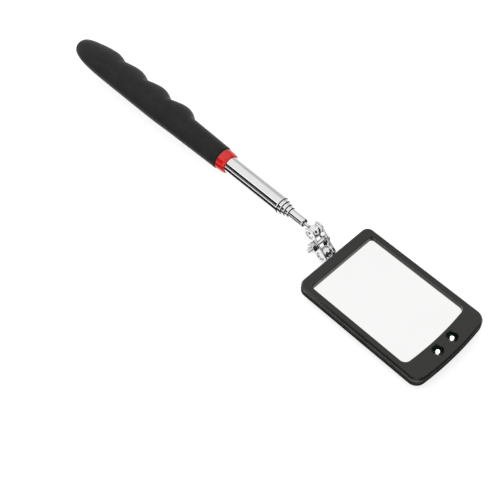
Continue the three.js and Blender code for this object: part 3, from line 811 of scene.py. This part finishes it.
def stem_hole():
    """The hole in the near end for the head's stem, with a wider seat for its bearing inside."""
    radius, seat_radius, seat_start, seat_end = 2.15, 2.5, 1.75, 5.2
    profile = [
        (-1, 0),
        (-1, radius),
        (seat_start, radius),
        (seat_start, seat_radius),
        (seat_end, seat_radius),
        (seat_end, 0),
    ]
    return turned("tool", profile, on_head @ Matrix.Translation((0, HEAD_BALL.y, HEAD_BALL.z)))


def bezel():
    """The front half: chamfered outside, with a rounded window and rounded lamp holes."""
    corners = [
        (PARTING, -BEZEL["groove"]),
        (PARTING, 0),
        (TOP - BEZEL["chamfer_drop"], 0),
        (TOP - BEZEL["chamfer_rise"], -BEZEL["chamfer_width"]),
        (TOP, -BEZEL["face_inset"]),
    ]
    shell = stacked("bezel_moulding", CASE_SHAPE, rounded(corners, 0.35, steps=5))
    hollow = [(PARTING - 1, 0), (TOP - BEZEL["face_thickness"], 0)]
    cavity = stacked("tool", grown(CASE_SHAPE, -HEAD["wall"]), hollow)
    lip = [
        (TOP - 3, 0),
        (TOP - 0.75, 0),
        (TOP - 0.4, 0.06),
        (TOP - 0.18, 0.2),
        (TOP - 0.04, 0.45),
        (TOP + 1, 1.3),
    ]
    cut(shell, cavity, stacked("tool", WINDOW_SHAPE, lip))
    radius = BEZEL["lamp_hole"]
    hole = [
        (TOP - 3, 0),
        (TOP - 3, radius),
        (TOP - 0.7, radius),
        (TOP - 0.35, radius + 0.08),
        (TOP - 0.1, radius + 0.35),
        (TOP + 0.02, radius + 0.7),
        (TOP + 1, radius + 1.4),
        (TOP + 1, 0),
    ]
    for node in ("lamp_left", "lamp_right"):
        spot = middle(node)
        cut(shell, turned("tool", hole, Matrix.Translation((spot.x, spot.y, 0)) @ upright))
    return cut(shell, stem_hole())


BACK_DEPTH, BACK_INSET = 6.2, 9     # height and reach of the quarter oval that rounds the back


def back_inset(height):
    """How far the rounded side of the back half has drawn in at a height."""
    rise = (BACK_DEPTH - height) / BACK_DEPTH
    return BACK_INSET * (1 - math.sqrt(max(1 - rise**2, 0)))


DOOR_X = middle("battery_door").x - HEAD_START
SLIDER_LOW, SLIDER_HIGH = box("switch_slider")
SWITCH_TRAVEL = 2.4
SWITCH_X = (SLIDER_LOW.x + SLIDER_HIGH.x + SWITCH_TRAVEL) / 2 - HEAD_START
SCREW_SPOTS = [middle(f"case_screw_{number}") - Vector((HEAD_START, 0, 0)) for number in (1, 2, 3, 4)]
LUG_ANGLE = math.radians(60)
BOSS = {"radius": 2.7, "well": 2.05, "well_depth": 2.95, "hole": 1.1}
DOOR_HOLE = {"radius": 11.7, "lug_reach": 13.3, "lug_half": 3.1}
SLOT_HALF_WIDTH = 1.5
SCOOP = (                       # height, half length and half width of each ring of the finger scoop
    (-0.4, 6.9, 5.1),
    (0.02, 6.1, 4.35),
    (0.3, 5.4, 3.7),
    (0.6, 4.6, 2.9),
)


def superellipse(length, width, height):
    """A ring between an oval and a rectangle."""
    ring = []
    for k in range(FINE):
        turn = 2 * math.pi * k / FINE
        x = length * math.copysign(abs(math.cos(turn)) ** 0.5, math.cos(turn))
        y = width * math.copysign(abs(math.sin(turn)) ** 0.5, math.sin(turn))
        ring.append((x, y, height))
    return ring


def back_shell():
    """The back half: a tray with screw bosses, a door opening with two lug slots, and a switch slot."""
    wall = HEAD["wall"]
    heights = [0, 0.04, 0.2, 0.5, 0.9, 1.5, 2.2, 3, 3.9, 4.8, RIM - 0.25]
    steps = [(0, -back_inset(0) - 0.35), *((height, -back_inset(height)) for height in heights[1:])]
    steps += [(RIM - 0.08, -back_inset(RIM) - 0.1), (RIM, -back_inset(RIM) - 0.3)]
    shell = stacked("rear_shell_moulding", CASE_SHAPE, steps)
    hollow = []
    for height in (wall, 1.9, 2.4, 3.2, 4, 4.8, RIM + 1):
        covered = min(height - wall * 0.7, RIM)
        hollow.append((height, -back_inset(covered) - wall))
    cut(shell, stacked("tool", CASE_SHAPE, hollow))
    for spot in SCREW_SPOTS:
        boss = post(spot.x, spot.y, 0.6, RIM, BOSS["radius"], on_head)
        combine(boss, "INTERSECT", stacked("tool", grown(CASE_SHAPE, -0.02), steps[1:]))
        join(shell, boss)
    well = [
        (-1, 0),
        (-1, 2.6),
        (0.35, BOSS["well"]),
        (BOSS["well_depth"], BOSS["well"]),
        (BOSS["well_depth"], BOSS["hole"]),
        (RIM + 1, BOSS["hole"]),
        (RIM + 1, 0),
    ]
    for spot in SCREW_SPOTS:
        cut(shell, turned("tool", well, on_head @ Matrix.Translation((spot.x, spot.y, 0)) @ upright))
    at_door = on_head @ Matrix.Translation((DOOR_X, 0, 0))
    radius, reach, half = DOOR_HOLE["radius"], DOOR_HOLE["lug_reach"], DOOR_HOLE["lug_half"]
    hole = [
        (-1, 0),
        (-1, radius + 0.5),
        (0, radius + 0.35),
        (0.3, radius),
        (wall + 1, radius),
        (wall + 1, 0),
    ]
    cut(shell, turned("tool", hole, at_door @ upright, ROUND))
    turn = Matrix.Rotation(LUG_ANGLE, 4, "Z")
    cut(shell, block((-reach, -half, -1), (reach, half, wall + 1), at_door @ turn))
    half_slot = (SWITCH_TRAVEL + SLIDER_HIGH.x - SLIDER_LOW.x) / 2 + 0.4
    at_switch = on_head @ Matrix.Translation((SWITCH_X, 0, 0))
    low, high = (-half_slot, -SLOT_HALF_WIDTH, -1), (half_slot, SLOT_HALF_WIDTH, wall + 1)
    cut(shell, block(low, high, at_switch))
    scoop = [superellipse(length, width, height) for height, length, width in SCOOP]
    cut(shell, loft("tool", scoop, at_switch))
    return cut(shell, stem_hole())


CASE_SCREW = {"bottom": 1.2, "under_head": 2.8, "tip": 8.8, "head": 1.8, "shank": 0.9}


def case_screw(number, spot):
    """A screw that goes in from the back, with a cross slot in its head."""
    bottom, under, tip = CASE_SCREW["bottom"], CASE_SCREW["under_head"], CASE_SCREW["tip"]
    head, shank = CASE_SCREW["head"], CASE_SCREW["shank"]
    corners = [
        (bottom, 0),
        (bottom, head - 0.3),
        (1.55, head),
        (under, head),
        (under, shank),
        (8.2, shank),
        (tip, 0.3),
        (tip, 0),
    ]
    at_screw = on_head @ Matrix.Translation((spot.x, spot.y, 0))
    screw = turned(f"case_screw_{number}_steel", rounded(corners, 0.08), at_screw @ upright)
    for wide, narrow in ((1.15, 0.27), (0.27, 1.15)):
        cut(screw, block((-wide, -narrow, 0.5), (wide, narrow, 1.85), at_screw))
    return screw


dress(bezel(), CASE, "head", "case_plastic", "front_bezel")
dress(back_shell(), CASE, "head", "case_plastic", "rear_shell")
for screw_number, screw_spot in enumerate(SCREW_SPOTS, 1):
    dress(case_screw(screw_number, screw_spot), STEEL, "head", "steel", f"case_screw_{screw_number}")

# ---------------------------------------------------------------- mirror and lamps


def mirror():
    """A silvered plate with ground edges."""
    low, high = box("mirror_glass")
    shape = (low.x - HEAD_START, high.x - HEAD_START, high.y, 1.5, 2.5)
    steps = [(low.z, -0.15), (low.z + 0.15, 0), (high.z - 0.25, 0), (high.z, -0.25)]
    glass = stacked("mirror_plate", shape, steps)
    dress(glass, MIRROR, "head", "mirror", "mirror_glass", sharp=20)
    glass.data.materials.append(EDGE)
    for polygon in glass.data.polygons:
        polygon.material_index = int(polygon.normal.z < 0.9)
    return glass


LAMP_BODY, LAMP_DOME = 2.45, 2.2     # radius of the lens and height of its domed top


def lamp(node):
    """A clear lens with a flange, a reflector cup near its top that glows as a painted highlight, and a
    black foot in its bottom.
    """
    low, high = box(node)
    spot = middle(node)
    place = Matrix.Translation((spot.x, spot.y, 0)) @ upright
    flange, body, dome = high.y - spot.y, LAMP_BODY, LAMP_DOME
    shoulder = high.z - dome
    profile = [(low.z, 0), (low.z, flange), (low.z + 0.8, flange), (low.z + 0.9, body), (shoulder, body)]
    for k in range(1, 15):
        turn = math.pi / 2 * k / 14
        profile.append((shoulder + dome * math.sin(turn), body * math.cos(turn)))
    lens = turned(f"{node}_lens", profile, place, 64)
    dress(lens, LENS, "head", "clear_lens", node, sharp=40)
    cup_floor, cup_rim = shoulder + 0.3, shoulder + 1.1
    cup = [
        (cup_floor - 0.6, 0),
        (cup_floor - 0.6, 0.6),
        (cup_rim, 0.85),
        (cup_rim, 0.7),
        (cup_floor, 0.4),
        (cup_floor, 0),
    ]
    # the cup glows as a painted highlight seen through the lens
    dress(turned(f"{node}_reflector_cup", cup, place), PAINTED_HIGHLIGHT_CUP, "head", "steel")
    foot_bottom, foot_top, foot_radius = low.z + 0.15, low.z + 0.45, body - 0.1
    foot = [(foot_bottom, 0), (foot_bottom, foot_radius), (foot_top, foot_radius), (foot_top, 0)]
    dress(turned(f"{node}_black_foot", foot, place, 64), INNER, "head", "inner_plastic")
    return lens


mirror()
for lamp_node in ("lamp_left", "lamp_right"):
    lamp(lamp_node)

# ---------------------------------------------------------------- battery door and switch


DOOR_CUP = {
    "bottom": 0.2,
    "floor": 1.5,
    "step": 1.6,                # where the rim gets slimmer
    "top": 2.6,
    "radius": 11.4,
    "rim": 11,
    "bore": 10.3,
    "lug_reach": 12.9,
    "lug_half": 2.6,
    "lug_bottom": 1.8,
    "slot_half_length": 7,
    "slot_half_width": 0.9,
    "slot_depth": 0.9,
}
RIBS = {"count": 5, "pitch": 1.5, "side": 8, "half_length": 1.2, "half_width": 0.3, "depth": 0.42}


def battery_door():
    """A shallow cup with two lugs, a coin slot across it and grip cuts on each side of the slot."""
    at_door = on_head @ Matrix.Translation((DOOR_X, 0, 0))
    bottom, floor_top, step, top = (DOOR_CUP[key] for key in ("bottom", "floor", "step", "top"))
    radius, rim, bore = DOOR_CUP["radius"], DOOR_CUP["rim"], DOOR_CUP["bore"]
    cup = [
        (bottom, 0),
        (bottom, 10.95),
        (0.32, 11.3),
        (0.55, radius),
        (step, radius),
        (step, rim),
        (top, rim),
        (top, bore),
        (floor_top, bore),
        (floor_top, 0),
    ]
    door = turned("battery_door_moulding", rounded(cup, 0.08), at_door @ upright, ROUND)
    reach, half = DOOR_CUP["lug_reach"], DOOR_CUP["lug_half"]
    lugs = block((-reach, -half, DOOR_CUP["lug_bottom"]), (reach, half, top), at_door)
    hollow = post(0, 0, 1, 3, bore, at_door, ROUND)
    limit = post(0, 0, 1, 3, reach, at_door, ROUND)
    join(door, combine(cut(lugs, hollow), "INTERSECT", limit))
    length, width = DOOR_CUP["slot_half_length"], DOOR_CUP["slot_half_width"]
    cut(door, block((-length, -width, -1), (length, width, DOOR_CUP["slot_depth"]), at_door))
    for side in (-RIBS["side"], RIBS["side"]):
        for k in range(RIBS["count"]):
            x = (k - (RIBS["count"] - 1) / 2) * RIBS["pitch"]
            low = (x - RIBS["half_width"], side - RIBS["half_length"], -1)
            high = (x + RIBS["half_width"], side + RIBS["half_length"], RIBS["depth"])
            cut(door, block(low, high, at_door))
    return door


def slider():
    """The knob of the switch, with three grooves across it."""
    low, high = SLIDER_LOW, SLIDER_HIGH
    in_place = Matrix.Identity(4)
    knob = block(low, high, in_place, 0.12)
    knob.name = "switch_knob"
    first, pitch, half, depth = low.x + 0.7, 0.6, 0.15, 0.3
    for k in range(3):
        x = first + pitch * k
        groove = block((x - half, low.y - 1, low.z - 1), (x + half, high.y + 1, low.z + depth), in_place)
        cut(knob, groove)
    return knob


dress(battery_door(), CASE, "battery_door", "case_plastic", "battery_door")
dress(slider(), INNER, "switch_slider", "inner_plastic", "switch_slider")

# ---------------------------------------------------------------- CAD nodes that keep their shape

for row in frame["record"]["subparts"]:
    node = frame["nodes"][row["node"]]
    if not node.hide_render:
        finish = SLOT_FINISH[row["material_slot"]]
        for material_slot in node.material_slots:
            material_slot.material = finish
        node.data.set_sharp_from_angle(angle=math.radians(32))

# ---------------------------------------------------------------- floor, lights and camera


CARD_HEIGHT = 0.3               # of the cards that lie on the floor


def card(name, corners, material, faces=((0, 1, 2, 3),)):
    """A flat studio card that only reflections see."""
    mesh = bpy.data.meshes.new(name)
    mesh.from_pydata([Vector(corner) * MM for corner in corners], [], faces)
    mesh.materials.append(material)
    piece = bpy.data.objects.new(name, mesh)
    bpy.context.scene.collection.objects.link(piece)
    piece.visible_camera = False
    piece.visible_diffuse = False
    piece.visible_shadow = False
    piece.visible_transmission = False


def skirt(name, near, far, material):
    """A card on the floor that follows the foot of the case, all but the side where the joint is."""
    inner, outer = [
        [on_head @ Vector(point) for point in outline(grown(CASE_SHAPE, reach), CARD_HEIGHT + 0.1)]
        for reach in (near, far)
    ]
    count = len(inner)
    faces = []
    for k in range(count):
        following = (k + 1) % count
        if max(inner[k].x, inner[following].x) > HEAD_START + 1:
            faces.append((k, following, count + following, count + k))
    card(name, inner + outer, material, faces)


def glow(name, brightness):
    material = bpy.data.materials.new(name)
    material.use_nodes = True
    shader = material.node_tree.nodes["Principled BSDF"]
    shader.inputs["Base Color"].default_value = (0, 0, 0, 1)
    shader.inputs["Specular IOR Level"].default_value = 0
    shader.inputs["Emission Color"].default_value = (1, 1, 1, 1)
    shader.inputs["Emission Strength"].default_value = brightness
    return material


def floor():
    size, height = 4000, -0.02
    corners = [(-size, -size, height), (size, -size, height), (size, size, height), (-size, size, height)]
    mesh = bpy.data.meshes.new("floor")
    mesh.from_pydata([Vector(corner) * MM for corner in corners], [], [(0, 1, 2, 3)])
    material = bpy.data.materials.new("pale_floor")
    material.use_nodes = True
    shader = material.node_tree.nodes["Principled BSDF"]
    shader.inputs["Base Color"].default_value = (0.4, 0.4, 0.4, 1)
    shader.inputs["Roughness"].default_value = 0.9
    shader.inputs["Specular IOR Level"].default_value = 0
    shader.inputs["Emission Color"].default_value = (1, 1, 1, 1)
    shader.inputs["Emission Strength"].default_value = 0.68
    mesh.materials.append(material)
    piece = bpy.data.objects.new("floor", mesh)
    bpy.context.scene.collection.objects.link(piece)


def studio():
    """A white room with cards that give the chrome its bands and the case its dark and light edges."""
    world = bpy.data.worlds.new("studio")
    bpy.context.scene.world = world
    world.use_nodes = True
    background = world.node_tree.nodes["Background"]
    background.inputs["Color"].default_value = (1, 1, 1, 1)
    background.inputs["Strength"].default_value = 0.97
    long = 1500
    black, grey, pale = glow("black_flag", 0.02), glow("grey_flag", 0.17), glow("pale_flag", 0.62)

    def low_card(name, start, end, near, far):
        z = CARD_HEIGHT
        card(name, [(start, near, z), (end, near, z), (end, far, z), (start, far, z)], black)

    def wall(name, y, bottom, top, material, start=-580, end=-200):
        card(name, [(start, y, bottom), (end, y, bottom), (end, y, top), (start, y, top)], material)

    low_card("wand_flag", -long, WAND_BALL.x - 10, WAND_Y - 91, WAND_Y - 17)
    low_card("joint_flag", WAND_BALL.x - 10, HEAD_START - 1, WAND_Y - 3.5, WAND_Y + 9)
    low_card("case_flag", HEAD_START - 1, HEAD_START + 110, -170, -HEAD["half_width"] - 12)
    skirt("foot_flag", -1, 5.3, black)
    skirt("foot_glow", 5.5, 7.5, glow("edge_glow", 2.6))
    low_card("end_flag", HEAD_END + 12, HEAD_END + 420, -60, 400)
    wall("edge_flag", 80, 0, 32, black, HEAD_START - 25, HEAD_START + 60)
    wall("right_flag", WAND_Y + 680, 0, 520, black, 130, long)
    distance = 700
    grey_top, black_top, white_top = (
        distance * math.tan(math.radians(rise)) + WAND_Z for rise in (16.4, 40.5, 51)
    )
    wall("grey_wall", WAND_Y - distance, 0, grey_top, grey)
    wall("black_wall", WAND_Y - distance, grey_top, black_top, black)
    wall("white_wall", WAND_Y - distance, black_top, white_top, glow("white_flag", 1.3))
    wall("pale_wall", WAND_Y + distance, 0, distance * math.tan(math.radians(55)), pale)
    card("front_flag", [(1300, -700, 300), (1300, 100, 300), (700, 100, 1100), (700, -700, 1100)], black)


def softbox(name, direction, distance, width, height, power):
    """A wide soft light, aimed at the middle of the floor under the joint. Reflections do not see it."""
    light = bpy.data.lights.new(name, "AREA")
    light.shape = "RECTANGLE"
    light.size, light.size_y = width, height
    light.energy = power
    lamp_object = bpy.data.objects.new(name, light)
    bpy.context.scene.collection.objects.link(lamp_object)
    toward = Vector(direction).normalized()
    lamp_object.location = Vector((WAND_BALL.x * MM, 0, 0)) + toward * distance
    lamp_object.rotation_euler = toward.to_track_quat("Z", "Y").to_euler()
    lamp_object.visible_glossy = False


def camera():
    azimuth, elevation = math.radians(45.72), math.radians(54.61)
    distance = 0.54444
    target = Vector((0.02735, -0.02414, 0))
    level = math.cos(elevation)
    back = Vector((math.sin(azimuth) * level, -math.cos(azimuth) * level, math.sin(elevation)))
    data = bpy.data.cameras.new("camera")
    data.sensor_width = 36
    data.lens = 72
    data.clip_start, data.clip_end = 0.01, 20
    view = bpy.data.objects.new("camera", data)
    bpy.context.scene.collection.objects.link(view)
    view.location = target + back * distance
    view.rotation_euler = back.to_track_quat("Z", "Y").to_euler()
    bpy.context.scene.camera = view


floor()
studio()
softbox("overhead", (-0.41, -0.37, 0.83), 1.3, 1.1, 2.2, 11)
camera()
bpy.context.scene.view_settings.view_transform = "Standard"
